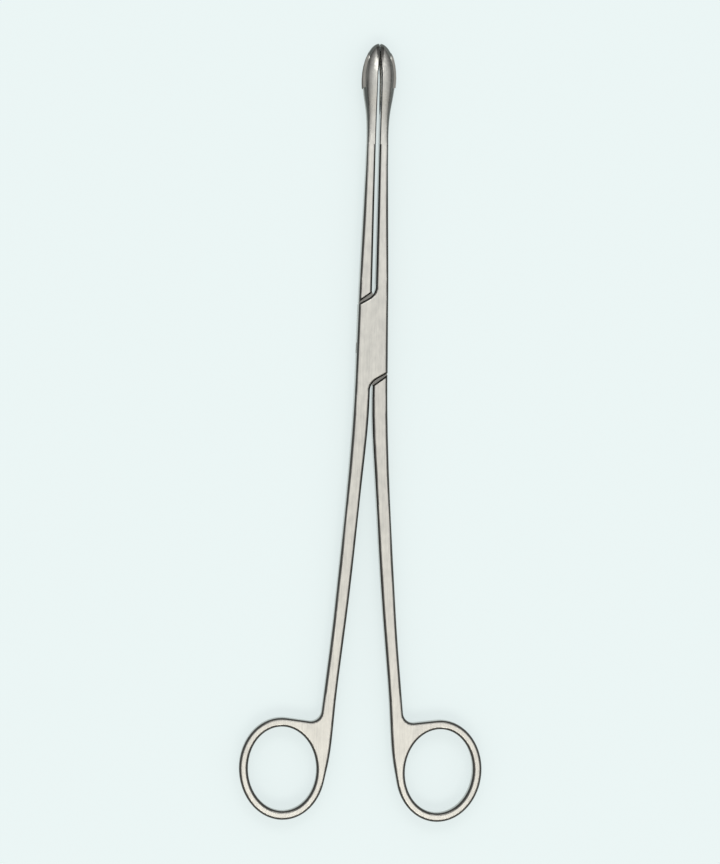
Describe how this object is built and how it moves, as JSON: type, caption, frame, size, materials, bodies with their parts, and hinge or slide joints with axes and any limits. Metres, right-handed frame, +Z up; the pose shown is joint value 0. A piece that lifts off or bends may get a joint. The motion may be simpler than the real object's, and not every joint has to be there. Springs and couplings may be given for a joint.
{
  "type": "ovum forceps",
  "caption": "Long ring-handled grasping forceps with a box lock, slender arms and cupped, windowed jaws that open and close about the lock's pin.",
  "frame": {"origin": "centre of the pivot pin's lower end, in the plane of the lock's flat underside", "axes": "+Y along the closed instrument from the pin to the jaw tips, +X towards the male half's finger ring, +Z up along the pin"},
  "size_m": [0.0876, 0.28, 0.0102],
  "materials": {
    "instrument_steel": "satin flats, polished rounded edges and cups",
    "pin_steel": "ground flush, satin"
  },
  "bodies": {
    "female": {"female_half": "instrument_steel", "pivot_pin": "pin_steel"},
    "male": {"male_half": "instrument_steel"}
  },
  "joints": [
    {"name": "jaw_pivot", "type": "hinge", "parent": "female", "child": "male", "pos_m": [0, 0, 0.0036], "axis": [0, 0, 1], "range_deg": [0, 60]}
  ]
}
